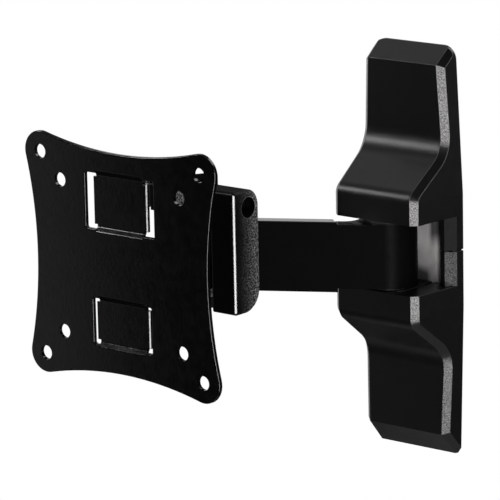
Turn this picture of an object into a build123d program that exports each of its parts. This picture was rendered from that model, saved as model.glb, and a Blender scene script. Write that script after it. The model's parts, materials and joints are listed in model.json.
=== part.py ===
from build123d import *
from collections import namedtuple
import math
import os

# Single-arm TV wall mount: a steel wall plate under two plastic covers, a swinging arm,
# a swivelling head and a tilting screen plate. Millimetres.
# Frame: origin on the wall plane at the middle of the cover seam, X to the right along
# the wall, Y into the wall, Z up. The arm is drawn swung to the left.

# Fits
RUNNING_CLEARANCE = 0.05
SEAT_CLEARANCE = 0.02
SIDE_CLEARANCE = 0.3

# Wall covers: sizes that both share
COVER_SEAM_HALF_WIDTH = 27.6
COVER_SEAM_GROOVE = 0.8
COVER_SEAM_DEPTH = 1.0
COVER_TAPER_START_Z = 28.0
COVER_WALL = 2.5
COVER_DRAFT = 0.08
COVER_EDGE_CHAMFER = 2.9
COVER_FOLD_Z = 91.6
COVER_FOLD_DEPTH = 11.5
COVER_END_LAND = 1.2
COVER_WAIST_DEPTH = 10.2
COVER_WAIST_RADIUS = 16.0
COVER_BULGE_DEPTH = 35.3
COVER_BULGE_RADIUS = 8.0
RIM_DEPTH = 8.85
RIM_CHAMFER = 4.1
NOTCH_LIP = 7.3
NOTCH_CLEARANCE = 0.45

# Wall covers: sizes of their own; the lower one is a little longer, wider and sharper
UPPER_END_HALF_WIDTH = 23.9
UPPER_END_RISE = 8.0
UPPER_CORNER_RADIUS = 7.0
UPPER_WAIST_Z = 49.9
UPPER_BULGE_Z = 31.8
LOWER_END_HALF_WIDTH = 25.5
LOWER_END_RISE = 11.6
LOWER_CORNER_RADIUS = 3.0
LOWER_WAIST_Z = 51.3
LOWER_BULGE_Z = 32.3

# Wall plate and its screw holes
WALL_PLATE_THICKNESS = 2.5
WALL_PLATE_CORNER_RADIUS = 4.0
WALL_SCREW_SPACING_X = 24.0
WALL_SCREW_SPACING_Z = 150.0
WALL_SCREW_HOLE_RADIUS = 3.5

# Hinge bracket and its rivets
BRACKET_THICKNESS = 3.0
BRACKET_HALF_WIDTH = 13.0
BRACKET_HALF_HEIGHT = 35.0
BRACKET_EAR_THICKNESS = 4.0
BRACKET_EAR_FRONT = 8.3
BRACKET_EAR_CORNER_RADIUS = 5.0
RIVET_RADIUS = 2.5
RIVET_HEAD_RADIUS = 4.2
RIVET_HEAD_HEIGHT = 2.0
RIVET_SPACING_X = 15.0
RIVET_SPACING_Z = 57.0

# Pivot bolts
WALL_PIVOT_FROM_WALL = 23.3
PIVOT_BOLT_RADIUS = 4.0
BOLT_HEAD_ACROSS_FLATS = 13.0
BOLT_HEAD_HEIGHT = 5.3
NUT_HEIGHT = 6.5
BOLT_TIP = 0.6
STEEL_WASHER_RADIUS = 8.0
STEEL_WASHER_THICKNESS = 1.6
FRICTION_WASHER_RADIUS = 11.0
FRICTION_WASHER_THICKNESS = 1.0
BUSH_OUTER_RADIUS = 6.5
BUSH_LENGTH = 12.0

# Arm
ARM_LENGTH = 90.5
ARM_REST_ANGLE = 30.0
ARM_HALF_HEIGHT = 17.4
ARM_BARREL_DROP = 1.6
ARM_BARREL_RADIUS = 14.0
ARM_WEB_THICKNESS = 8.0
ARM_WALL_RELIEF_RADIUS = 27.0
ARM_HEAD_RELIEF_RADIUS = 20.0
ARM_ROOT_FILLET = 8.0
ARM_EDGE_FILLET = 1.0
ARM_WEB_DROP = 0.45

# Head: depths are counted back from the front of the screen plate
HEAD_PIVOT_DEPTH = 62.0
TILT_AXIS_DEPTH = 47.7
TILT_AXIS_ABOVE_EAR = 10.95
TILT_AXIS_ABOVE_PLATE_CENTRE = 24.75

# Swivel yoke
CHEEK_OUTER = 40.0
CHEEK_THICKNESS = 14.4
CHEEK_FRONT_DEPTH = 36.9
CHEEK_BACK_DEPTH = 55.7
CHEEK_RISE = 8.65
CHEEK_DROP = 51.5
CHEEK_UPPER_RADIUS = 8.2
CHEEK_LOWER_RADIUS = 10.5
CHEEK_FRONT_RADIUS = 1.5
CHEEK_EDGE_CHAMFER = 1.0
CHEEK_FRONT_WALL = 5.0
CHEEK_SIDE_WALL = 4.0
CHEEK_POCKET_ROOF = 1.0
BAR_DROP = 5.75
YOKE_EAR_HALF_WIDTH = 12.5
YOKE_UPPER_EAR_THICKNESS = 12.0
YOKE_LOWER_EAR_THICKNESS = 4.0
YOKE_WEB_HALF_WIDTH = 9.5
YOKE_WEB_THICKNESS = 7.0
YOKE_WEB_GAP = 1.5
REAR_BEAM_THICKNESS = 4.5
REAR_BEAM_HEIGHT = 11.0
SPOTFACE_CLEARANCE = 1.0

# Tilt joint
TILT_SCREW_RADIUS = 3.0
TILT_SCREW_HEAD_RADIUS = 4.75
TILT_SCREW_HEAD_HEIGHT = 4.0
TILT_SCREW_SOCKET_ACROSS_FLATS = 5.0
TILT_SCREW_SOCKET_DEPTH = 2.5
TILT_SCREW_RECESS = 10.0
TILT_SCREW_GRIP = 7.0
TILT_COUNTERBORE_RADIUS = 5.15
TILT_WASHER_RADIUS = 5.8
TILT_WASHER_THICKNESS = 1.0
TILT_BUSH_WALL = 1.2

# Tilt bracket
TILT_EAR_OUTER = 16.0
TILT_BRACKET_THICKNESS = 2.5
TILT_EAR_END_RADIUS = 6.0
TILT_BASE_TOP = 41.0
TILT_BASE_BOTTOM = 30.5

# Screen plate
PLATE_THICKNESS = 2.0
VESA_WIDE = 100.0
VESA_NARROW = 75.0
VESA_HOLE_RADIUS = 3.5
PLATE_CORNER_RADIUS = 10.0
PLATE_WAIST_HALF = 53.9
PLATE_EDGE_RADIUS = 0.6
WINDOW_CORNER_RADIUS = 1.0
UPPER_WINDOW_WIDTH = 43.0
UPPER_WINDOW_TOP = 43.3
UPPER_WINDOW_BOTTOM = 16.0
LOWER_WINDOW_WIDTH = 37.0
LOWER_WINDOW_TOP = -18.2
LOWER_WINDOW_BOTTOM = -40.9
PAD_LEFT = -17.6
PAD_RIGHT = 16.2
PAD_SETBACK = 1.5
PAD_NECK_INSET = 2.3
PAD_OVERRUN = 1.3
PAD_BEND_RUN = 2.3
PAD_BEND_RADIUS = 1.0
PAD_TAIL = 1.5
PAD_EDGE_CHAMFER = 0.5

# Places that follow from the sizes
CoverEnd = namedtuple("CoverEnd", "half_width rise corner_radius waist_z bulge_z")
UPPER_END = CoverEnd(
    UPPER_END_HALF_WIDTH, UPPER_END_RISE, UPPER_CORNER_RADIUS, UPPER_WAIST_Z, UPPER_BULGE_Z)
LOWER_END = CoverEnd(
    LOWER_END_HALF_WIDTH, LOWER_END_RISE, LOWER_CORNER_RADIUS, LOWER_WAIST_Z, LOWER_BULGE_Z)
BARREL_HALF = ARM_HALF_HEIGHT - ARM_BARREL_DROP
EAR_INNER = BARREL_HALF + FRICTION_WASHER_THICKNESS
NOTCH_HALF = EAR_INNER + NOTCH_CLEARANCE
HEAD_X = -ARM_LENGTH * math.cos(math.radians(ARM_REST_ANGLE))
HEAD_Y = -WALL_PIVOT_FROM_WALL - ARM_LENGTH * math.sin(math.radians(ARM_REST_ANGLE))
PLATE_FRONT_Y = HEAD_Y - HEAD_PIVOT_DEPTH
TILT_Y = PLATE_FRONT_Y + TILT_AXIS_DEPTH
TILT_Z = EAR_INNER + TILT_AXIS_ABOVE_EAR
PLATE_Z = TILT_Z - TILT_AXIS_ABOVE_PLATE_CENTRE
CHEEK_INNER = CHEEK_OUTER - CHEEK_THICKNESS
TILT_EAR_INNER = TILT_EAR_OUTER - TILT_BRACKET_THICKNESS
SLOT_INNER = TILT_EAR_INNER - TILT_WASHER_THICKNESS
SLOT_OUTER = TILT_EAR_OUTER + TILT_WASHER_THICKNESS
BUSH_SEAT_RADIUS = BUSH_OUTER_RADIUS + SEAT_CLEARANCE
BOLT_SEAT_RADIUS = PIVOT_BOLT_RADIUS + RUNNING_CLEARANCE
TILT_SEAT_RADIUS = TILT_SCREW_RADIUS + RUNNING_CLEARANCE
TILT_BUSH_RADIUS = TILT_SEAT_RADIUS + TILT_BUSH_WALL
SPOTFACE_RADIUS = STEEL_WASHER_RADIUS + SPOTFACE_CLEARANCE
WALL_PIVOT = (0.0, -WALL_PIVOT_FROM_WALL)
HEAD_PIVOT = (HEAD_X, HEAD_Y)
HEAD_MIDDLE = Plane.YZ.offset(HEAD_X)
PAST = 1.0


def block(x_span, y_span, z_span):
    """A box between two limits along each axis."""
    size = [high - low for low, high in (x_span, y_span, z_span)]
    middle = [(low + high) / 2 for low, high in (x_span, y_span, z_span)]
    return Pos(*middle) * Box(*size)


def upright(radius, place, low, high):
    """A vertical cylinder between two heights."""
    x, y = place
    return Pos(x, y, (low + high) / 2) * Cylinder(radius, high - low)


def crosswise(radius, low, high):
    """A cylinder along the tilt axis between two distances from the head's middle."""
    turned = Rot(0, 90, 0) * Cylinder(radius, high - low)
    return Pos(HEAD_X + (low + high) / 2, TILT_Y, TILT_Z) * turned


def lengthwise(radius, x, z, y_low, y_high):
    """A cylinder square to the wall."""
    turned = Rot(90, 0, 0) * Cylinder(radius, y_high - y_low)
    return Pos(x, (y_low + y_high) / 2, z) * turned


def side_profile(outline, x_span):
    """A face drawn in Y and Z, drawn out along X."""
    low, high = x_span
    return Pos(low, 0, 0) * extrude(Plane.YZ * outline, high - low)


def mirrored_pair(shape, plane):
    """A solid and its mirror image, as one group."""
    return Compound(children=[shape, mirror(shape, plane)])


# Covers


def cover_taper(end):
    """How much a cover narrows on each side for each millimetre toward its end."""
    return (COVER_SEAM_HALF_WIDTH - end.half_width) / (COVER_FOLD_Z + end.rise - COVER_TAPER_START_Z)


def cover_half_width(end, z):
    """Half the cover's width on the wall plane at one height."""
    return COVER_SEAM_HALF_WIDTH - cover_taper(end) * max(0, abs(z) - COVER_TAPER_START_Z)


def back_outline(end, inset, half_height, corner_radius):
    """A tapered outline on the wall plane, alike above and below, with rounded end corners."""
    bends = (-half_height, -COVER_TAPER_START_Z, COVER_TAPER_START_Z, half_height)
    right = [(cover_half_width(end, z) - inset, z) for z in bends]
    left = [(-x, z) for x, z in reversed(right)]
    outline = make_face(Polyline(*right, *left, close=True))
    ends = [corner for corner in outline.vertices() if abs(corner.Y) > COVER_TAPER_START_Z + PAST]
    return fillet(ends, corner_radius)


def trim_sides(solid, end, inset):
    """Cut a cover to its sides, which lean in toward the room and toward the end."""
    for side in (-1, 1):
        for taper in (0, cover_taper(end)):
            origin = (side * (COVER_SEAM_HALF_WIDTH - inset), 0, COVER_TAPER_START_Z)
            solid = split(solid, Plane(origin, z_dir=(side, -COVER_DRAFT, taper)), keep=Keep.BOTTOM)
    return solid


def cover_outline(end):
    """The side view of a cover above the notch: end slope, shallow part, waist bend and bulge."""
    top = COVER_FOLD_Z + end.rise
    bulge = (-COVER_BULGE_DEPTH, end.bulge_z)
    waist = (-COVER_WAIST_DEPTH, end.waist_z)
    corners = [
        (0, NOTCH_HALF), (-COVER_BULGE_DEPTH, NOTCH_HALF), bulge, waist,
        (-COVER_FOLD_DEPTH, COVER_FOLD_Z), (-COVER_END_LAND, top), (0, top),
    ]
    outline = make_face(Polyline(*corners, close=True))
    outline = fillet(outline.vertices().sort_by_distance(bulge)[0], COVER_BULGE_RADIUS)
    return fillet(outline.vertices().sort_by_distance(waist)[0], COVER_WAIST_RADIUS)


def front_side_edges(solid, end, top):
    """The edges below a height where a cover's front meets its two sides."""
    def on_side(edge):
        places = [edge @ 0, edge @ 0.5, edge @ 1]
        gaps = [abs(p.X) - cover_half_width(end, p.Z) - p.Y * COVER_DRAFT for p in places]
        rises = abs(places[0].Z - places[2].Z) > SEAT_CLEARANCE
        below = max(places[0].Z, places[2].Z) < top + SEAT_CLEARANCE
        off_wall = max(p.Y for p in places) < -SEAT_CLEARANCE
        return max(map(abs, gaps)) < SEAT_CLEARANCE and rises and below and off_wall
    return solid.edges().filter_by(on_side)


def seam_lip(end, wide):
    """The thinner edge of a cover, which meets the other cover behind the groove at the seam."""
    deep = (COVER_SEAM_DEPTH - RIM_DEPTH, 0)
    lip = trim_sides(block(wide, deep, (0, COVER_SEAM_GROOVE / 2)), end, COVER_SEAM_DEPTH)
    return chamfer(lip.edges().filter_by(Axis.Z).sort_by(Axis.Y)[:2], RIM_CHAMFER)


def cover(end):
    """A cover above the seam: a thin shell with a rim beside the arm and a bulge over the pivot."""
    wide = (-COVER_SEAM_HALF_WIDTH - PAST, COVER_SEAM_HALF_WIDTH + PAST)
    outline = cover_outline(end)
    body = trim_sides(side_profile(outline, wide), end, 0)
    body = chamfer(front_side_edges(body, end, COVER_FOLD_Z + end.rise), COVER_EDGE_CHAMFER)
    rim = trim_sides(block(wide, (-RIM_DEPTH, 0), (COVER_SEAM_GROOVE / 2, NOTCH_HALF)), end, 0)
    body += chamfer(front_side_edges(rim, end, NOTCH_HALF), RIM_CHAMFER)
    body += seam_lip(end, wide)
    rounded = back_outline(end, 0, COVER_FOLD_Z + end.rise, end.corner_radius)
    body &= Rot(90, 0, 0) * extrude(rounded, COVER_BULGE_DEPTH)
    floor = NOTCH_HALF + COVER_WALL
    hollow = side_profile(offset(outline, -COVER_WALL, kind=Kind.INTERSECTION), wide)
    hollow += block(wide, (-COVER_WALL - PAST, PAST), (floor, COVER_FOLD_Z - COVER_WALL))
    hollow += block(wide, (COVER_WALL - RIM_DEPTH, PAST), (-PAST, floor))
    hollow = trim_sides(hollow, end, COVER_WALL)
    notch_half_width = COVER_SEAM_HALF_WIDTH - NOTCH_LIP
    deep = (-COVER_BULGE_DEPTH - PAST, PAST)
    notch = block((-notch_half_width, notch_half_width), deep, (-PAST, NOTCH_HALF))
    ear_half = BRACKET_HALF_WIDTH + SIDE_CLEARANCE
    ear_front = -WALL_PIVOT_FROM_WALL - BRACKET_EAR_FRONT - SIDE_CLEARANCE
    ear_top = EAR_INNER + BRACKET_EAR_THICKNESS + SIDE_CLEARANCE
    ear_way = block((-ear_half, ear_half), (ear_front, PAST), (0, ear_top))
    return body - hollow - notch - ear_way


# Wall plate and hinge bracket


def wall_plate():
    half_height = COVER_FOLD_Z - COVER_WALL - SIDE_CLEARANCE
    gap = COVER_WALL + SIDE_CLEARANCE + WALL_PLATE_THICKNESS * COVER_DRAFT
    outline = back_outline(UPPER_END, gap, half_height, WALL_PLATE_CORNER_RADIUS)
    plate = Rot(90, 0, 0) * extrude(outline, WALL_PLATE_THICKNESS)
    through = (-WALL_PLATE_THICKNESS - PAST, PAST)
    for x in (-WALL_SCREW_SPACING_X / 2, WALL_SCREW_SPACING_X / 2):
        for z in (-WALL_SCREW_SPACING_Z / 2, WALL_SCREW_SPACING_Z / 2):
            plate -= lengthwise(WALL_SCREW_HOLE_RADIUS, x, z, *through)
    for x, z in rivet_places():
        plate -= lengthwise(RIVET_RADIUS + SEAT_CLEARANCE, x, z, *through)
    return plate


def rivet_places():
    across = RIVET_SPACING_X / 2
    up = RIVET_SPACING_Z / 2
    return [(x, z) for x in (-across, across) for z in (-up, up)]


def hinge_bracket():
    back = -WALL_PLATE_THICKNESS
    front = back - BRACKET_THICKNESS
    wide = (-BRACKET_HALF_WIDTH, BRACKET_HALF_WIDTH)
    body = block(wide, (front, back), (-BRACKET_HALF_HEIGHT, BRACKET_HALF_HEIGHT))
    ear_front = -WALL_PIVOT_FROM_WALL - BRACKET_EAR_FRONT
    ear = block(wide, (ear_front, back), (EAR_INNER, EAR_INNER + BRACKET_EAR_THICKNESS))
    corners = ear.edges().filter_by(Axis.Z).sort_by(Axis.Y)[:2]
    ear = fillet(corners, BRACKET_EAR_CORNER_RADIUS)
    body += ear + mirror(ear, Plane.XY)
    reach = EAR_INNER + BRACKET_EAR_THICKNESS + PAST
    body -= upright(BOLT_SEAT_RADIUS, WALL_PIVOT, -reach, reach)
    for x, z in rivet_places():
        body -= lengthwise(RIVET_RADIUS + SEAT_CLEARANCE, x, z, front - PAST, back + PAST)
    return body


def hinge_rivets():
    front = -WALL_PLATE_THICKNESS - BRACKET_THICKNESS
    rivets = []
    for x, z in rivet_places():
        shank = lengthwise(RIVET_RADIUS, x, z, front - RIVET_HEAD_HEIGHT, 0)
        head = lengthwise(RIVET_HEAD_RADIUS, x, z, front - RIVET_HEAD_HEIGHT, front)
        rim = head.edges().sort_by(Axis.Y)[0]
        rivets.append(shank + fillet(rim, RIVET_HEAD_HEIGHT / 2))
    return Compound(children=rivets)


# Pivot hardware, the same stack at both ends of the arm


def hexagon(across_flats, height):
    return extrude(RegularPolygon(across_flats / 2, 6, major_radius=False), height)


def pivot_bolt(place, upper_seat, lower_seat):
    """A hex bolt from the top washer down through the nut."""
    x, y = place
    head_base = upper_seat + STEEL_WASHER_THICKNESS
    tip = -lower_seat - STEEL_WASHER_THICKNESS - NUT_HEIGHT - BOLT_TIP
    shank = upright(PIVOT_BOLT_RADIUS, place, tip, head_base)
    return shank + Pos(x, y, head_base) * hexagon(BOLT_HEAD_ACROSS_FLATS, BOLT_HEAD_HEIGHT)


def pivot_nut(place, lower_seat):
    x, y = place
    base = -lower_seat - STEEL_WASHER_THICKNESS - NUT_HEIGHT
    top = base + NUT_HEIGHT
    nut = Pos(x, y, base) * hexagon(BOLT_HEAD_ACROSS_FLATS, NUT_HEIGHT)
    return nut - upright(PIVOT_BOLT_RADIUS + SEAT_CLEARANCE, place, base - PAST, top + PAST)


def ring(outer, inner, place, low, high):
    return upright(outer, place, low, high) - upright(inner, place, low - PAST, high + PAST)


def steel_washers(place, upper_seat, lower_seat):
    """One washer under the bolt's head and one above the nut."""
    washers = []
    for low in (upper_seat, -lower_seat - STEEL_WASHER_THICKNESS):
        high = low + STEEL_WASHER_THICKNESS
        washers.append(ring(STEEL_WASHER_RADIUS, BOLT_SEAT_RADIUS, place, low, high))
    return Compound(children=washers)


def friction_washers(place):
    top = ring(FRICTION_WASHER_RADIUS, BOLT_SEAT_RADIUS, place, BARREL_HALF, EAR_INNER)
    return mirrored_pair(top, Plane.XY)


def arm_bushes(place):
    top = ring(BUSH_OUTER_RADIUS, BOLT_SEAT_RADIUS, place, BARREL_HALF - BUSH_LENGTH, BARREL_HALF)
    return mirrored_pair(top, Plane.XY)


# Arm


def arm():
    """Two barrels joined by a flat web that lies flush with their room side."""
    near = ARM_BARREL_RADIUS
    far = near - ARM_WEB_THICKNESS
    web_outline = Pos(ARM_LENGTH / 2, (near + far) / 2) * Rectangle(ARM_LENGTH, ARM_WEB_THICKNESS)
    ends = [Pos(x, 0) * Circle(ARM_BARREL_RADIUS) for x in (0, ARM_LENGTH)]
    outline = web_outline + ends[0] + ends[1]
    root = math.sqrt(ARM_BARREL_RADIUS**2 - far**2)
    roots = [outline.vertices().sort_by_distance((x, far))[0] for x in (root, ARM_LENGTH - root)]
    outline = fillet(roots, ARM_ROOT_FILLET)
    body = Pos(0, 0, -BARREL_HALF) * extrude(outline, 2 * BARREL_HALF)
    web = Pos(0, 0, -ARM_HALF_HEIGHT - ARM_WEB_DROP) * extrude(web_outline, 2 * ARM_HALF_HEIGHT)
    for x, relief in ((0, ARM_WALL_RELIEF_RADIUS), (ARM_LENGTH, ARM_HEAD_RELIEF_RADIUS)):
        web -= upright(relief, (x, 0), -ARM_HALF_HEIGHT - PAST, ARM_HALF_HEIGHT + PAST)
    web = fillet(web.edges().filter_by(Axis.X), ARM_EDGE_FILLET)
    body += web
    for x in (0, ARM_LENGTH):
        body -= upright(BUSH_SEAT_RADIUS, (x, 0), -BARREL_HALF - PAST, BARREL_HALF + PAST)
    return Pos(*WALL_PIVOT, 0) * Rot(0, 0, 180 + ARM_REST_ANGLE) * body


# Swivel yoke


def head_outline(low):
    """The side view that cheeks and bar share: flat in front and on top, round at the upper corners."""
    front = PLATE_FRONT_Y + CHEEK_FRONT_DEPTH
    back = PLATE_FRONT_Y + CHEEK_BACK_DEPTH
    top = TILT_Z + CHEEK_RISE
    outline = make_face(Polyline((front, low), (back, low), (back, top), (front, top), close=True))
    outline = fillet(outline.vertices().sort_by_distance((back, top))[0], CHEEK_UPPER_RADIUS)
    return fillet(outline.vertices().sort_by_distance((front, top))[0], CHEEK_FRONT_RADIUS)


def cheek():
    """The side block on the viewer's right, chamfered around its outer face and hollow behind."""
    front = PLATE_FRONT_Y + CHEEK_FRONT_DEPTH
    back = PLATE_FRONT_Y + CHEEK_BACK_DEPTH
    low = TILT_Z - CHEEK_DROP
    outline = head_outline(low)
    for corner, radius in (((back, low), CHEEK_LOWER_RADIUS), ((front, low), CHEEK_FRONT_RADIUS)):
        outline = fillet(outline.vertices().sort_by_distance(corner)[0], radius)
    body = side_profile(outline, (HEAD_X + CHEEK_INNER, HEAD_X + CHEEK_OUTER))
    body = chamfer(body.faces().sort_by(Axis.X)[-1].edges(), CHEEK_EDGE_CHAMFER)
    pocket_wide = (HEAD_X + CHEEK_INNER - PAST, HEAD_X + CHEEK_OUTER - CHEEK_SIDE_WALL)
    pocket_high = (low + CHEEK_SIDE_WALL, TILT_Z - BAR_DROP - CHEEK_POCKET_ROOF)
    return body - block(pocket_wide, (front + CHEEK_FRONT_WALL, back + PAST), pocket_high)


def yoke_bar():
    """The bar between the cheeks, around the tilt axis, with a flat underside."""
    return side_profile(head_outline(TILT_Z - BAR_DROP), (HEAD_X - CHEEK_INNER, HEAD_X + CHEEK_INNER))


def yoke_ear(low, high):
    """A flat ear around the head pivot, reaching forward to the yoke's front web."""
    front = HEAD_Y - ARM_BARREL_RADIUS - YOKE_WEB_GAP - YOKE_WEB_THICKNESS
    wide = (HEAD_X - YOKE_EAR_HALF_WIDTH, HEAD_X + YOKE_EAR_HALF_WIDTH)
    return block(wide, (front, HEAD_Y), (low, high)) + upright(YOKE_EAR_HALF_WIDTH, HEAD_PIVOT, low, high)


def swivel_yoke():
    right = cheek()
    upper_seat = EAR_INNER + YOKE_UPPER_EAR_THICKNESS
    web_back = HEAD_Y - ARM_BARREL_RADIUS - YOKE_WEB_GAP
    web_front = web_back - YOKE_WEB_THICKNESS
    slot_back = TILT_Y + TILT_EAR_END_RADIUS + SIDE_CLEARANCE
    bar_low = TILT_Z - BAR_DROP
    bar_front = PLATE_FRONT_Y + CHEEK_FRONT_DEPTH
    bar_top = TILT_Z + CHEEK_RISE
    body = right + mirror(right, HEAD_MIDDLE) + yoke_bar()
    body += block((HEAD_X - SLOT_INNER, HEAD_X + SLOT_INNER), (web_front, slot_back), (EAR_INNER, TILT_Z))
    beam_wide = (HEAD_X - CHEEK_INNER - PAST, HEAD_X + CHEEK_INNER + PAST)
    beam_deep = (TILT_Y, slot_back + REAR_BEAM_THICKNESS)
    body += block(beam_wide, beam_deep, (bar_low, bar_low + REAR_BEAM_HEIGHT))
    for side in (-1, 1):
        slot = sorted((HEAD_X + side * SLOT_INNER, HEAD_X + side * SLOT_OUTER))
        body -= block(slot, (bar_front - PAST, slot_back), (bar_low - PAST, bar_top + PAST))
    body += yoke_ear(EAR_INNER, upper_seat)
    body += yoke_ear(-EAR_INNER - YOKE_LOWER_EAR_THICKNESS, -EAR_INNER)
    web = (HEAD_X - YOKE_WEB_HALF_WIDTH, HEAD_X + YOKE_WEB_HALF_WIDTH)
    body += block(web, (web_front, web_back), (-EAR_INNER, EAR_INNER))
    body -= upright(SPOTFACE_RADIUS, HEAD_PIVOT, upper_seat, bar_top + PAST)
    reach = upper_seat + YOKE_LOWER_EAR_THICKNESS
    body -= upright(BOLT_SEAT_RADIUS, HEAD_PIVOT, -reach, reach)
    for side in (-1, 1):
        head_seat = side * (CHEEK_OUTER - TILT_SCREW_RECESS)
        mouth = sorted((head_seat, side * (CHEEK_OUTER + PAST)))
        shank = sorted((head_seat, side * (SLOT_INNER - TILT_SCREW_GRIP)))
        body -= crosswise(TILT_COUNTERBORE_RADIUS, *mouth)
        body -= crosswise(TILT_SEAT_RADIUS, *shank)
    return body


# Tilt joint


def tilt_screws():
    """Two socket screws, one from each cheek, that end in the middle of the bar."""
    seat = CHEEK_OUTER - TILT_SCREW_RECESS
    top = seat + TILT_SCREW_HEAD_HEIGHT
    shank = crosswise(TILT_SCREW_RADIUS, SLOT_INNER - TILT_SCREW_GRIP, seat)
    head = crosswise(TILT_SCREW_HEAD_RADIUS, seat, top)
    socket = Rot(0, 90, 0) * hexagon(TILT_SCREW_SOCKET_ACROSS_FLATS, TILT_SCREW_SOCKET_DEPTH)
    screw = shank + head - Pos(HEAD_X + top - TILT_SCREW_SOCKET_DEPTH, TILT_Y, TILT_Z) * socket
    return mirrored_pair(screw, HEAD_MIDDLE)


def tilt_ring(outer, low, high):
    return crosswise(outer, low, high) - crosswise(TILT_SEAT_RADIUS, low - PAST, high + PAST)


def tilt_friction_washers():
    inner = tilt_ring(TILT_WASHER_RADIUS, SLOT_INNER, TILT_EAR_INNER)
    outer = tilt_ring(TILT_WASHER_RADIUS, TILT_EAR_OUTER, SLOT_OUTER)
    pair = [inner, outer]
    return Compound(children=pair + [mirror(washer, HEAD_MIDDLE) for washer in pair])


def tilt_bushes():
    bush = tilt_ring(TILT_BUSH_RADIUS, TILT_EAR_INNER, TILT_EAR_OUTER)
    return mirrored_pair(bush, HEAD_MIDDLE)


def tilt_bracket():
    """A bent steel U: a base on the upper pad and two ears back to the tilt axis."""
    base_front = PLATE_FRONT_Y + PAD_SETBACK + PLATE_THICKNESS
    base_back = base_front + TILT_BRACKET_THICKNESS
    top = PLATE_Z + TILT_BASE_TOP
    bottom = PLATE_Z + TILT_BASE_BOTTOM
    end = Pos(TILT_Y, TILT_Z) * Circle(TILT_EAR_END_RADIUS)
    arm_face = make_face(Polyline(
        (base_front, bottom), (TILT_Y, TILT_Z - TILT_EAR_END_RADIUS),
        (TILT_Y, TILT_Z + TILT_EAR_END_RADIUS), (base_front, top), close=True))
    ear = side_profile(arm_face + end, (HEAD_X + TILT_EAR_INNER, HEAD_X + TILT_EAR_OUTER))
    ear -= crosswise(TILT_BUSH_RADIUS + SEAT_CLEARANCE, TILT_EAR_INNER - PAST, TILT_EAR_OUTER + PAST)
    base_wide = (HEAD_X - TILT_EAR_OUTER, HEAD_X + TILT_EAR_OUTER)
    base = block(base_wide, (base_front, base_back), (bottom, top))
    return base + ear + mirror(ear, HEAD_MIDDLE)


# Screen plate, drawn in its own plane with x to the right and y up


def plate_outline():
    """A square with rounded corners and edges drawn in at the middle of each side."""
    corner = VESA_WIDE / 2
    drawn = PLATE_WAIST_HALF - corner
    edge_radius = (corner**2 + drawn**2 - PLATE_CORNER_RADIUS**2) / (2 * (PLATE_CORNER_RADIUS - drawn))
    share = PLATE_CORNER_RADIUS / (PLATE_CORNER_RADIUS + edge_radius)
    meet = (corner * (1 - share), corner + share * (drawn + edge_radius))
    tip = corner + PLATE_CORNER_RADIUS / math.sqrt(2)
    side = ThreePointArc((-meet[0], meet[1]), (0, PLATE_WAIST_HALF), meet)
    bend = ThreePointArc(meet, (tip, tip), (meet[1], meet[0]))
    edges = [Rot(0, 0, 90 * turn) * part for turn in range(4) for part in (side, bend)]
    return make_face(edges)


def plate_window(width, top, bottom):
    return Pos(0, (top + bottom) / 2) * RectangleRounded(width, top - bottom, WINDOW_CORNER_RADIUS)


def pad_way(top, bottom):
    """The way for the bent ends of the strip in a window."""
    left = PAD_LEFT + PAD_NECK_INSET
    right = PAD_RIGHT - PAD_NECK_INSET
    way = Rectangle(right - left, top - bottom + 2 * (PAD_OVERRUN + PAD_TAIL))
    return Pos((left + right) / 2, (top + bottom) / 2) * way


def plate_pad(top, bottom):
    """The strip left in a window: a flat pad set back from the face, on two narrower bent ends."""
    high = PLATE_Z + top + PAD_OVERRUN
    low = PLATE_Z + bottom - PAD_OVERRUN
    pad_high = high - PAD_BEND_RUN
    pad_low = low + PAD_BEND_RUN
    bends = ((high, 0), (pad_high, PAD_SETBACK), (pad_low, PAD_SETBACK), (low, 0))
    path = ((high + PAD_TAIL, 0), *bends, (low - PAD_TAIL, 0))
    front = [(PLATE_FRONT_Y + setback, z) for z, setback in path]
    back = [(y + PLATE_THICKNESS, z) for y, z in reversed(front)]
    outline = make_face(Polyline(*front, *back, close=True))
    for z, setback in bends:
        for y in (PLATE_FRONT_Y + setback, PLATE_FRONT_Y + setback + PLATE_THICKNESS):
            outline = fillet(outline.vertices().sort_by_distance((y, z))[0], PAD_BEND_RADIUS)
    neck_wide = (HEAD_X + PAD_LEFT + PAD_NECK_INSET, HEAD_X + PAD_RIGHT - PAD_NECK_INSET)
    pad_front = PLATE_FRONT_Y + PAD_SETBACK
    pad_deep = (pad_front, pad_front + PLATE_THICKNESS)
    pad_tall = (pad_low + PAD_BEND_RADIUS, pad_high - PAD_BEND_RADIUS)
    pad = block((HEAD_X + PAD_LEFT, HEAD_X + PAD_RIGHT), pad_deep, pad_tall)
    pad = chamfer(pad.faces().sort_by(Axis.Y)[0].edges(), PAD_EDGE_CHAMFER)
    return side_profile(outline, neck_wide) + pad


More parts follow.
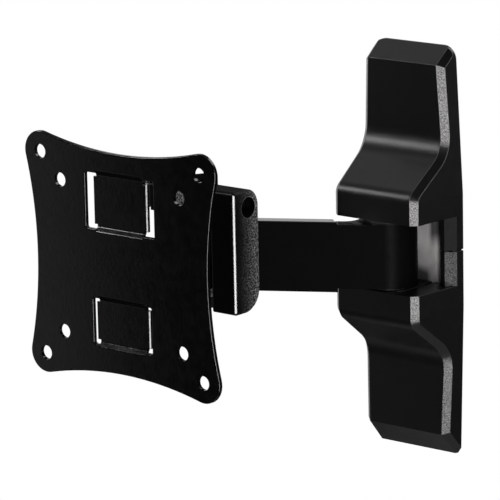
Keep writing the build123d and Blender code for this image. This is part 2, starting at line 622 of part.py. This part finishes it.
def vesa_plate():
    back = PLATE_FRONT_Y + PLATE_THICKNESS
    place = Pos(HEAD_X, back, PLATE_Z) * Rot(90, 0, 0)
    windows = [
        (UPPER_WINDOW_WIDTH, UPPER_WINDOW_TOP, UPPER_WINDOW_BOTTOM),
        (LOWER_WINDOW_WIDTH, LOWER_WINDOW_TOP, LOWER_WINDOW_BOTTOM),
    ]
    outline = plate_outline()
    for width, top, bottom in windows:
        outline -= plate_window(width, top, bottom)
    plate = place * extrude(outline, PLATE_THICKNESS)
    plate = fillet(plate.faces().sort_by(Axis.Y)[0].edges(), PLATE_EDGE_RADIUS)
    cuts = [pad_way(top, bottom) for width, top, bottom in windows]
    for spacing in (VESA_WIDE, VESA_NARROW):
        for x in (-spacing / 2, spacing / 2):
            for y in (-spacing / 2, spacing / 2):
                cuts.append(Pos(x, y) * Circle(VESA_HOLE_RADIUS))
    for cut in cuts:
        plate -= place * Pos(0, 0, -PAST) * extrude(cut, PLATE_THICKNESS + 2 * PAST)
    for width, top, bottom in windows:
        plate += plate_pad(top, bottom)
    return plate


# Export

bracket_seat = EAR_INNER + BRACKET_EAR_THICKNESS
yoke_upper_seat = EAR_INNER + YOKE_UPPER_EAR_THICKNESS
yoke_lower_seat = EAR_INNER + YOKE_LOWER_EAR_THICKNESS
PIECES = {
    "wall_plate": wall_plate(),
    "hinge_bracket": hinge_bracket(),
    "hinge_rivets": hinge_rivets(),
    "upper_cover": cover(UPPER_END),
    "lower_cover": mirror(cover(LOWER_END), Plane.XY),
    "wall_pivot_bolt": pivot_bolt(WALL_PIVOT, bracket_seat, bracket_seat),
    "wall_pivot_nut": pivot_nut(WALL_PIVOT, bracket_seat),
    "wall_pivot_washers": steel_washers(WALL_PIVOT, bracket_seat, bracket_seat),
    "wall_friction_washers": friction_washers(WALL_PIVOT),
    "arm": arm(),
    "arm_wall_bushes": arm_bushes(WALL_PIVOT),
    "arm_head_bushes": arm_bushes(HEAD_PIVOT),
    "swivel_yoke": swivel_yoke(),
    "head_pivot_bolt": pivot_bolt(HEAD_PIVOT, yoke_upper_seat, yoke_lower_seat),
    "head_pivot_nut": pivot_nut(HEAD_PIVOT, yoke_lower_seat),
    "head_pivot_washers": steel_washers(HEAD_PIVOT, yoke_upper_seat, yoke_lower_seat),
    "head_friction_washers": friction_washers(HEAD_PIVOT),
    "tilt_screws": tilt_screws(),
    "tilt_friction_washers": tilt_friction_washers(),
    "tilt_bushes": tilt_bushes(),
    "tilt_bracket": tilt_bracket(),
    "vesa_plate": vesa_plate(),
}

os.makedirs("parts", exist_ok=True)
for node, shape in PIECES.items():
    export_step(shape, f"parts/{node}.step")
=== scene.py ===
"""A single-arm TV wall mount against a white studio ground. Metres, in the frame of the CAD model."""

import json
import math

import bpy
from mathutils import Matrix, Vector

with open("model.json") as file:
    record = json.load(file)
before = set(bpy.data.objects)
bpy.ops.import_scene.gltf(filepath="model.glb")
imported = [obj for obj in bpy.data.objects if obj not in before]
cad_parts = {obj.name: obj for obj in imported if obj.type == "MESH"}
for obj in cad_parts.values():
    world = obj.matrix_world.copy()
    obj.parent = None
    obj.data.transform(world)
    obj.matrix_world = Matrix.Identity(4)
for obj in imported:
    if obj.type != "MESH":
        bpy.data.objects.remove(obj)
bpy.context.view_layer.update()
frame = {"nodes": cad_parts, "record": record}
NODES = frame["nodes"]
UP = Vector((0, 0, 1))
WHITE = (1.0, 1.0, 1.0, 1.0)

# Camera, fitted to the photo
IMAGE_SIZE = 500
SENSOR_WIDTH = 36.0
FOCAL_PIXELS = 3717.11
CAMERA_AZIMUTH = 39.75
CAMERA_ELEVATION = 13.15
CAMERA_ROLL = -1.16
CAMERA_DISTANCE = 1.81745
CAMERA_RIGHT = -0.08204
CAMERA_UP = -0.00384

# Stage: each edge is a pair, where a change starts and where it ends
STAGE_CENTRE = Vector((-0.055, -0.06, 0.0))
FLOOR_HEIGHT = -0.62
FLOOR_RADIUS = 0.42
FLOOR_SIDES = 96
FLOOR_COLOUR = (0.6, 0.6, 0.6, 1.0)
FLOOR_ROUGHNESS = 0.9
ROOM_LEVEL = 0.015
BACKDROP_AZIMUTH = CAMERA_AZIMUTH + 180
BACKDROP_SIDE_EDGE = (0.4, 0.75)
BACKDROP_HIGH_EDGE = (0.25, 0.36)
SWEEP_EDGE = (0.36, 0.42)
OPEN_SPREAD = 180
NARROW_SPREAD = 15
UPPER_COVER_WAIST = Vector((-0.05, -0.04, 0.06))

# Ranges that many finishes share
RISE = (0.0, 1.0)
FALL = (1.0, 0.0)
NOISE_MIDDLE = (0.3, 0.7)

# Rounded edges: the mask's edge is a cosine between the rounded and the flat normal
BEVEL_SAMPLES = 8
ROUNDED_EDGE = (0.993, 0.95)

# Powder coat: the speckles and the painted edge highlight grow paler toward the back, a painted gradient
# of light; depths in metres
YOKE_SPECKLE_EDGE = (-0.092, -0.079)
YOKE_PALE = 0.2
# The tilt bracket's much paler speckles are painted light for a part that sits in shade behind the plate
BRACKET_SPECKLE_EDGE = (-0.121, -0.108)
BRACKET_PALE = 0.8
COAT_BLACK = 0.0008
COAT_EDGE_RADIUS = 0.0009
COAT_CORNER_EDGE = (1.34, 1.4)
COAT_LEAST_SPECKLE = 0.1
COAT_SPECKLE_POWER = 2.2
COAT_GRAIN_EDGE = (0.42, 0.68)
COAT_SIDE_EDGE = (0.8, 0.95)
COAT_TOP_EDGE = (0.6, 0.9)
COAT_TOP_DULLING = 0.5
# How pale the painted edge highlight gets
COAT_EDGE_HIGHLIGHT = 0.45

# Arm paint
PAINT_TOP_EDGE = (0.5, 0.8)

# Covers: heights are from the seam, in metres
COVER_EDGE_RADIUS = 0.0005
COVER_CORNER_EDGE = (1.36, 1.411)
COVER_GRAIN_EDGE = (0.36, 0.65)
COVER_BLACK = (0.002, 0.0019, 0.0019)
# The bevels' pale grain colour, which is partly a painted highlight
COVER_PALE = (0.36, 0.355, 0.35)
# Painted shade on the bevels beside the seam, and their dulling
RIM_HEIGHT_EDGE = (0.017, 0.0175)
SEAM_EDGE = (-0.0005, 0.0005)
RIM_SHADE = (0.68, 0.99)
RIM_DULLING = 0.6
# The bevels' painted highlight fades low on the lower cover
LOW_BEVEL_EDGE = (-0.07, -0.02)
LOW_BEVEL_PALENESS = (0.35, 1.0)
CLOUD_PALENESS = 0.006
# A painted highlight along the covers' edges
EDGE_HIGHLIGHT_HEIGHT_EDGE = (0.0185, 0.019)
EDGE_HIGHLIGHT_PALENESS = (0.0, 0.4)
EDGE_HIGHLIGHT_COVER_EDGE = (-0.02, 0.02)
EDGE_HIGHLIGHT_OF_COVERS = (0.15, 1.0)
FINE_GRAIN_HEIGHT = 0.03

# Zinc: the bracket's dark ears, and two painted shadows on the face beside the arm's barrel
ZINC_BLACK = (0.006, 0.006, 0.006)
ZINC_PALE = (0.43, 0.42, 0.415)
EAR_HEIGHT_EDGE = (0.0164, 0.0166)
EAR_DEPTH_EDGE = (-0.006, -0.0065)
PATCH_DEPTH_EDGE = (-0.002, -0.0024)
PATCH_DARKNESS = 0.85
LOW_PATCH_SLANT = 0.2
LOW_PATCH_HEIGHT_EDGE = (-0.0115, -0.0075)
LOW_PATCH_SIDE_EDGE = (0.0095, 0.0125)
HIGH_PATCH_SIDE_EDGE = (0.0105, 0.0128)
HIGH_PATCH_HEIGHT_EDGE = (0.0, 0.007)


# Node helpers


def new_material(name):
    """A new material, its node tree and its shader."""
    material = bpy.data.materials.new(name)
    material.use_nodes = True
    tree = material.node_tree
    return material, tree, tree.nodes["Principled BSDF"]


def link(tree, source, target):
    """Let an output feed an input."""
    tree.links.new(source, target)


def coordinates(tree, kind):
    """A point's own coordinates: Object for its place, Normal for the way it faces."""
    return tree.nodes.new("ShaderNodeTexCoord").outputs[kind]


def split_coordinates(tree, kind):
    """The same coordinates as outputs named X, Y and Z."""
    split = tree.nodes.new("ShaderNodeSeparateXYZ")
    link(tree, coordinates(tree, kind), split.inputs["Vector"])
    return split.outputs


def noise(tree, scale, detail, roughness=0.5):
    """A noise over the object's own coordinates; scale is in features a metre."""
    texture = tree.nodes.new("ShaderNodeTexNoise")
    texture.inputs["Scale"].default_value = scale
    texture.inputs["Detail"].default_value = detail
    texture.inputs["Roughness"].default_value = roughness
    link(tree, coordinates(tree, "Object"), texture.inputs["Vector"])
    return texture.outputs["Fac"]


def remap(tree, value, source, target):
    """A value carried from one range to another, and held at its ends."""
    node = tree.nodes.new("ShaderNodeMapRange")
    sockets = ("From Min", "From Max", "To Min", "To Max")
    for socket, number in zip(sockets, (*source, *target)):
        node.inputs[socket].default_value = number
    link(tree, value, node.inputs["Value"])
    return node.outputs["Result"]


def arithmetic(tree, operation, first, second=0.0):
    """A math node over plain numbers or other nodes' outputs."""
    node = tree.nodes.new("ShaderNodeMath")
    node.operation = operation
    for socket, value in zip(node.inputs, (first, second)):
        if isinstance(value, (int, float)):
            socket.default_value = value
        else:
            link(tree, value, socket)
    return node.outputs["Value"]


def product(tree, first, *others):
    """Two or more values multiplied."""
    result = first
    for other in others:
        result = arithmetic(tree, "MULTIPLY", result, other)
    return result


def total(tree, first, *others):
    """Two or more values added."""
    result = first
    for other in others:
        result = arithmetic(tree, "ADD", result, other)
    return result


def remainder(tree, value):
    """What a mask leaves over."""
    return arithmetic(tree, "SUBTRACT", 1.0, value)


def along(tree, vector, direction):
    """How far a vector reaches along a fixed direction."""
    node = tree.nodes.new("ShaderNodeVectorMath")
    node.operation = "DOT_PRODUCT"
    node.inputs[1].default_value = direction
    link(tree, vector, node.inputs[0])
    return node.outputs["Value"]


def blend_colours(tree, factor, dark, light):
    """The dark colour where the factor is 0, and the light one where it is 1."""
    node = tree.nodes.new("ShaderNodeMix")
    node.data_type = "RGBA"
    node.inputs["A"].default_value = (*dark, 1.0)
    node.inputs["B"].default_value = (*light, 1.0)
    link(tree, factor, node.inputs["Factor"])
    return node.outputs["Result"]


def bump(tree, height, strength, distance, normal=None):
    """A normal tilted by a height, starting from another normal where one is given."""
    node = tree.nodes.new("ShaderNodeBump")
    node.inputs["Strength"].default_value = strength
    node.inputs["Distance"].default_value = distance
    link(tree, height, node.inputs["Height"])
    if normal:
        link(tree, normal, node.inputs["Normal"])
    return node.outputs["Normal"]


def rounded_edges(tree, radius):
    """A normal that turns smoothly over sharp edges, and a mask that is 1 along those edges."""
    bevel = tree.nodes.new("ShaderNodeBevel")
    bevel.samples = BEVEL_SAMPLES
    bevel.inputs["Radius"].default_value = radius
    flat = tree.nodes.new("ShaderNodeNewGeometry").outputs["Normal"]
    compare = tree.nodes.new("ShaderNodeVectorMath")
    compare.operation = "DOT_PRODUCT"
    link(tree, bevel.outputs["Normal"], compare.inputs[0])
    link(tree, flat, compare.inputs[1])
    return bevel.outputs["Normal"], remap(tree, compare.outputs["Value"], ROUNDED_EDGE, RISE)


def facing_corner(tree, edge):
    """1 on faces turned halfway between the front and either side, 0 on the front and sides.

    The two parts of the normal add up to 1 on the front and sides, and to the root of 2 halfway.
    """
    facing = split_coordinates(tree, "Normal")
    sideways = arithmetic(tree, "ABSOLUTE", facing["X"])
    return remap(tree, arithmetic(tree, "SUBTRACT", sideways, facing["Y"]), edge, RISE)


def add_colour(tree, shader, scale, detail, dark, light):
    """A colour that drifts between dark and light."""
    tone = blend_colours(tree, noise(tree, scale, detail), dark, light)
    link(tree, tone, shader.inputs["Base Color"])


def add_gloss(tree, shader, scale, detail, rough, dulling=None):
    """A roughness that drifts over a range, and is raised where the surface is dull."""
    level = remap(tree, noise(tree, scale, detail), NOISE_MIDDLE, rough)
    if dulling:
        level = total(tree, level, dulling)
    link(tree, level, shader.inputs["Roughness"])


def add_relief(tree, shader, scale, detail, strength, distance):
    """A bump of even noise."""
    link(tree, bump(tree, noise(tree, scale, detail), strength, distance), shader.inputs["Normal"])


# Materials


def gloss_enamel():
    """Gloss black enamel on sheet steel, with a faint orange peel."""
    material, tree, shader = new_material("gloss_enamel")
    dark = (0.0007, 0.0006, 0.0008)
    light = (0.0015, 0.0013, 0.0016)
    add_colour(tree, shader, scale=60, detail=4, dark=dark, light=light)
    add_gloss(tree, shader, scale=220, detail=3, rough=(0.13, 0.19))
    add_relief(tree, shader, scale=700, detail=2, strength=0.06, distance=0.0004)
    return material


def powder_coat(name, speckle_edge, pale):
    """Black powder coat: dull on top, glossy on its corners; pale speckles of real grain on its sides and
    a painted edge highlight, both growing toward the back as painted light.
    """
    material, tree, shader = new_material(name)
    facing = split_coordinates(tree, "Normal")
    depth = split_coordinates(tree, "Object")["Y"]
    # Painted light: the pale speckles, kept to the side faces, and the pale edges grow toward the back,
    # over the coat's real grain
    painted_light_toward_back = remap(tree, depth, speckle_edge, (COAT_LEAST_SPECKLE, 1.0))
    normal, edge = rounded_edges(tree, COAT_EDGE_RADIUS)
    edge_highlight = product(tree, edge, painted_light_toward_back, COAT_EDGE_HIGHLIGHT)
    grain = noise(tree, scale=1150, detail=1.5, roughness=0.6)
    speck = remap(tree, grain, COAT_GRAIN_EDGE, RISE)
    speckled = arithmetic(tree, "POWER", painted_light_toward_back, COAT_SPECKLE_POWER)
    sideways = remap(tree, arithmetic(tree, "ABSOLUTE", facing["X"]), COAT_SIDE_EDGE, RISE)
    grain_and_painted_light = total(tree, product(tree, speck, speckled, sideways), edge_highlight)
    tone = blend_colours(tree, grain_and_painted_light, [COAT_BLACK] * 3, [pale] * 3)
    link(tree, tone, shader.inputs["Base Color"])
    dulling = remap(tree, facing["Z"], COAT_TOP_EDGE, (0.0, COAT_TOP_DULLING))
    add_gloss(tree, shader, scale=900, detail=2, rough=(0.3, 0.38), dulling=dulling)
    shader.inputs["Specular IOR Level"].default_value = 0.2
    shader.inputs["Coat Roughness"].default_value = 0.15
    link(tree, facing_corner(tree, COAT_CORNER_EDGE), shader.inputs["Coat Weight"])
    link(tree, normal, shader.inputs["Coat Normal"])
    relief = bump(tree, grain, strength=0.12, distance=0.0004, normal=normal)
    link(tree, relief, shader.inputs["Normal"])
    return material


def satin_paint():
    """Matte black paint on the arm, rubbed glossy on its upward faces."""
    material, tree, shader = new_material("satin_paint")
    dark = (0.0012, 0.001, 0.001)
    light = (0.0022, 0.0019, 0.0019)
    add_colour(tree, shader, scale=90, detail=4, dark=dark, light=light)
    add_gloss(tree, shader, scale=300, detail=3, rough=(0.44, 0.52))
    add_relief(tree, shader, scale=1500, detail=2, strength=0.06, distance=0.0003)
    upward = split_coordinates(tree, "Normal")["Z"]
    link(tree, remap(tree, upward, PAINT_TOP_EDGE, RISE), shader.inputs["Coat Weight"])
    shader.inputs["Specular IOR Level"].default_value = 0.03
    shader.inputs["Coat Roughness"].default_value = 0.12
    return material


def cover_plastic():
    """Satin moulded plastic whose corner bevels carry a coarse, paler spark-eroded grain; the paler tone
    is partly painted highlight, with painted shade on the bevels beside the seam and a painted highlight
    along edges.
    """
    material, tree, shader = new_material("cover_plastic")
    height = split_coordinates(tree, "Object")["Z"]
    from_seam = arithmetic(tree, "ABSOLUTE", height)
    bevel = facing_corner(tree, COVER_CORNER_EDGE)
    normal, edge = rounded_edges(tree, COVER_EDGE_RADIUS)
    grain = noise(tree, scale=1900, detail=2, roughness=0.65)

    # The bevels beside the seam get painted shade, darkest on the upper cover, and are dull there; the
    # bevels' paleness, partly painted highlight, fades low on the lower cover
    rim = product(tree, remap(tree, from_seam, RIM_HEIGHT_EDGE, FALL), bevel)
    rim_shade_and_dulling = product(tree, rim, remap(tree, height, SEAM_EDGE, RIM_SHADE))
    bevel_grain_and_highlight = arithmetic(tree, "SUBTRACT", bevel, rim_shade_and_dulling)
    bevel_grain_and_highlight = product(tree, bevel_grain_and_highlight, remap(tree, height, LOW_BEVEL_EDGE, LOW_BEVEL_PALENESS))
    speck = product(tree, remap(tree, grain, COVER_GRAIN_EDGE, RISE), bevel_grain_and_highlight)

    # Edges away from the seam get a painted highlight, strongest on the upper cover
    edge_highlight = product(tree, edge, remap(tree, from_seam, EDGE_HIGHLIGHT_HEIGHT_EDGE, EDGE_HIGHLIGHT_PALENESS))
    edge_highlight = product(tree, edge_highlight, remap(tree, height, EDGE_HIGHLIGHT_COVER_EDGE, EDGE_HIGHLIGHT_OF_COVERS))

    cloud = product(tree, noise(tree, scale=80, detail=4), CLOUD_PALENESS)
    tone = blend_colours(tree, total(tree, speck, cloud, edge_highlight), COVER_BLACK, COVER_PALE)
    link(tree, tone, shader.inputs["Base Color"])
    dulling = product(tree, rim_shade_and_dulling, RIM_DULLING)
    add_gloss(tree, shader, scale=350, detail=3, rough=(0.31, 0.37), dulling=dulling)
    fine = product(tree, noise(tree, scale=2200, detail=2), FINE_GRAIN_HEIGHT)
    coarse = product(tree, grain, bevel)
    relief = bump(tree, total(tree, fine, coarse), strength=0.6, distance=0.0004, normal=normal)
    link(tree, relief, shader.inputs["Normal"])
    return material


def painted_shadow_patches(tree, place):
    """Two soft painted shadows on the face beside the arm's barrel: low on its left, high on its right."""
    slant = total(tree, place["Z"], product(tree, place["X"], LOW_PATCH_SLANT))
    low = remap(tree, slant, LOW_PATCH_HEIGHT_EDGE, (PATCH_DARKNESS, 0.0))
    low = product(tree, low, remap(tree, place["X"], LOW_PATCH_SIDE_EDGE, FALL))
    high = remap(tree, place["Z"], HIGH_PATCH_HEIGHT_EDGE, (0.0, PATCH_DARKNESS))
    high = product(tree, high, remap(tree, place["X"], HIGH_PATCH_SIDE_EDGE, RISE))
    front = remap(tree, place["Y"], PATCH_DEPTH_EDGE, RISE)
    return product(tree, arithmetic(tree, "MAXIMUM", low, high), front)


def zinc_plate():
    """Dull zinc-plated sheet steel with a faint cloudy spangle, dark ears and two painted shadows beside
    the arm's barrel.
    """
    material, tree, shader = new_material("zinc_plate")
    place = split_coordinates(tree, "Object")
    outward = remap(tree, arithmetic(tree, "ABSOLUTE", place["Z"]), EAR_HEIGHT_EDGE, RISE)
    ear = product(tree, outward, remap(tree, place["Y"], EAR_DEPTH_EDGE, RISE))
    spangle = remap(tree, noise(tree, scale=140, detail=4), NOISE_MIDDLE, (0.78, 1.0))
    # Painted shadows darken the face beside the arm's barrel
    painted_shadows = painted_shadow_patches(tree, place)
    light = product(tree, spangle, remainder(tree, ear), remainder(tree, painted_shadows))
    link(tree, blend_colours(tree, light, ZINC_BLACK, ZINC_PALE), shader.inputs["Base Color"])
    add_gloss(tree, shader, scale=260, detail=3, rough=(0.5, 0.62))
    add_relief(tree, shader, scale=1200, detail=2, strength=0.1, distance=0.0003)
    shader.inputs["Metallic"].default_value = 0.35
    return material


def black_zinc():
    """Black zinc-plated bolts, nuts and washers."""
    material, tree, shader = new_material("black_zinc")
    add_colour(tree, shader, scale=300, detail=3, dark=(0.008, 0.008, 0.0085), light=(0.018, 0.018, 0.019))
    add_gloss(tree, shader, scale=500, detail=3, rough=(0.7, 0.85))
    add_relief(tree, shader, scale=900, detail=2, strength=0.3, distance=0.0004)
    shader.inputs["Metallic"].default_value = 1.0
    shader.inputs["Specular Tint"].default_value = (0.2, 0.2, 0.2, 1.0)
    return material


def black_oxide():
    """Blackened screws."""
    material, tree, shader = new_material("black_oxide")
    add_colour(tree, shader, scale=600, detail=3, dark=(0.012, 0.012, 0.013), light=(0.035, 0.035, 0.036))
    add_gloss(tree, shader, scale=500, detail=3, rough=(0.3, 0.42))
    shader.inputs["Metallic"].default_value = 1.0
    return material


def dark_nylon():
    """Dark nylon bushes and friction washers."""
    material, tree, shader = new_material("dark_nylon")
    add_colour(tree, shader, scale=400, detail=3, dark=(0.02, 0.02, 0.021), light=(0.03, 0.03, 0.031))
    add_gloss(tree, shader, scale=800, detail=2, rough=(0.45, 0.6))
    return material


SLOT_FINISHES = {
    "gloss_black": gloss_enamel(),
    "cast_black": powder_coat("powder_coat", YOKE_SPECKLE_EDGE, YOKE_PALE),
    "satin_black": satin_paint(),
    "cover_plastic": cover_plastic(),
    "zinc_steel": zinc_plate(),
    "bolt_steel": black_zinc(),
    "screw_black": black_oxide(),
    "nylon": dark_nylon(),
}
# The tilt bracket's copy has far paler speckles, painted light on a part seen in shade through the plate's
# holes
NODE_FINISHES = {"tilt_bracket": powder_coat("bracket_coat", BRACKET_SPECKLE_EDGE, BRACKET_PALE)}


def finish_nodes():
    """Give every CAD node its own finish, or that of its material slot."""
    for part in frame["record"]["subparts"]:
        finish = NODE_FINISHES.get(part["node"], SLOT_FINISHES[part["material_slot"]])
        slots = NODES[part["node"]].data.materials
        for index in range(len(slots)):
            slots[index] = finish


# Stage


def heading(azimuth, elevation=0.0):
    """A unit vector; azimuth 0 is straight out from the wall and grows to the right."""
    turn = math.radians(azimuth)
    rise = math.radians(elevation)
    flat = math.cos(rise)
    return Vector((math.sin(turn) * flat, -math.cos(turn) * flat, math.sin(rise)))


def camera_axes():
    """The camera's right, up and forward directions, with its roll."""
    roll = math.radians(CAMERA_ROLL)
    forward = -heading(CAMERA_AZIMUTH, CAMERA_ELEVATION)
    level = forward.cross(UP).normalized()
    upright = level.cross(forward)
    right = level * math.cos(roll) + upright * math.sin(roll)
    up = upright * math.cos(roll) - level * math.sin(roll)
    return right, up, forward


def add_camera():
    """The photo's camera."""
    right, up, forward = camera_axes()
    data = bpy.data.cameras.new("camera")
    data.sensor_width = SENSOR_WIDTH
    data.lens = FOCAL_PIXELS * SENSOR_WIDTH / IMAGE_SIZE
    camera = bpy.data.objects.new("camera", data)
    bpy.context.scene.collection.objects.link(camera)
    place = right * CAMERA_RIGHT + up * CAMERA_UP - forward * CAMERA_DISTANCE
    turn = Matrix((right, up, -forward)).transposed().to_4x4()
    camera.matrix_world = Matrix.Translation(place) @ turn
    bpy.context.scene.camera = camera


def add_softbox(name, azimuth, elevation, distance, size, watts, spread=OPEN_SPREAD, aim=STAGE_CENTRE):
    """A soft lamp that looks at its aim from a heading; size is its width and height."""
    data = bpy.data.lights.new(name, "AREA")
    data.shape = "RECTANGLE"
    data.size, data.size_y = size
    data.energy = watts
    data.spread = math.radians(spread)
    lamp = bpy.data.objects.new(name, data)
    bpy.context.scene.collection.objects.link(lamp)
    out = heading(azimuth, elevation)
    lamp.location = aim + out * distance
    lamp.rotation_euler = out.to_track_quat("Z", "Y").to_euler()


def add_lamps():
    """Soft lamps; the one high on the left is small and narrowed to the upper cover's waist."""
    add_softbox("strip_right", azimuth=50, elevation=-13, distance=1.1, size=(0.2, 0.9), watts=13)
    add_softbox("side_right", azimuth=105, elevation=10, distance=1.1, size=(0.4, 0.6), watts=2)
    add_softbox(
        "high_left",
        azimuth=-50,
        elevation=24,
        distance=0.6,
        size=(0.16, 0.18),
        watts=0.026,
        spread=NARROW_SPREAD,
        aim=UPPER_COVER_WAIST,
    )
    add_softbox("low_left", azimuth=-56, elevation=-13, distance=1.2, size=(0.6, 0.6), watts=0.36)
    add_softbox("over_left", azimuth=-97, elevation=54, distance=1.2, size=(0.7, 0.6), watts=0.85)
    add_softbox("back_top", azimuth=165, elevation=38, distance=1.2, size=(0.6, 0.5), watts=3)
    add_softbox("top", azimuth=20, elevation=80, distance=1.2, size=(0.8, 0.8), watts=1.1)


def white_ground(tree, backdrop):
    """1 for rays from the camera, and for mirrored or see-through rays that meet the backdrop."""
    rays = tree.nodes.new("ShaderNodeLightPath").outputs
    mirrored = arithmetic(tree, "MAXIMUM", rays["Is Glossy Ray"], rays["Is Transmission Ray"])
    return arithmetic(tree, "MAXIMUM", rays["Is Camera Ray"], product(tree, mirrored, backdrop))


def add_world():
    """A white backdrop behind the object and a dim room around it."""
    world = bpy.data.worlds.new("studio")
    world.use_nodes = True
    bpy.context.scene.world = world
    tree = world.node_tree
    background = tree.nodes["Background"]
    direction = coordinates(tree, "Generated")
    behind = remap(tree, along(tree, direction, heading(BACKDROP_AZIMUTH)), BACKDROP_SIDE_EDGE, RISE)
    height = arithmetic(tree, "ABSOLUTE", along(tree, direction, UP))
    backdrop = product(tree, behind, remap(tree, height, BACKDROP_HIGH_EDGE, FALL))
    level = arithmetic(tree, "MAXIMUM", backdrop, ROOM_LEVEL)
    strength = arithmetic(tree, "MAXIMUM", level, white_ground(tree, backdrop))
    background.inputs["Color"].default_value = WHITE
    link(tree, strength, background.inputs["Strength"])


def add_floor():
    """A pale round floor, white to the camera, and white to mirrored rays at its rim by the backdrop."""
    mesh = bpy.data.meshes.new("floor")
    middle = STAGE_CENTRE + UP * FLOOR_HEIGHT
    turns = [360 * side / FLOOR_SIDES for side in range(FLOOR_SIDES)]
    corners = [middle + heading(turn) * FLOOR_RADIUS for turn in turns]
    mesh.from_pydata(corners, [], [range(FLOOR_SIDES)])
    floor = bpy.data.objects.new("floor", mesh)
    bpy.context.scene.collection.objects.link(floor)
    material, tree, shader = new_material("floor")
    shader.inputs["Base Color"].default_value = FLOOR_COLOUR
    shader.inputs["Roughness"].default_value = FLOOR_ROUGHNESS
    shader.inputs["Emission Color"].default_value = WHITE
    reach = along(tree, coordinates(tree, "Object"), heading(BACKDROP_AZIMUTH))
    sweep = remap(tree, reach, SWEEP_EDGE, RISE)
    link(tree, white_ground(tree, sweep), shader.inputs["Emission Strength"])
    mesh.materials.append(material)


finish_nodes()
add_camera()
add_world()
add_floor()
add_lamps()

bpy.context.scene.view_settings.view_transform = "Standard"
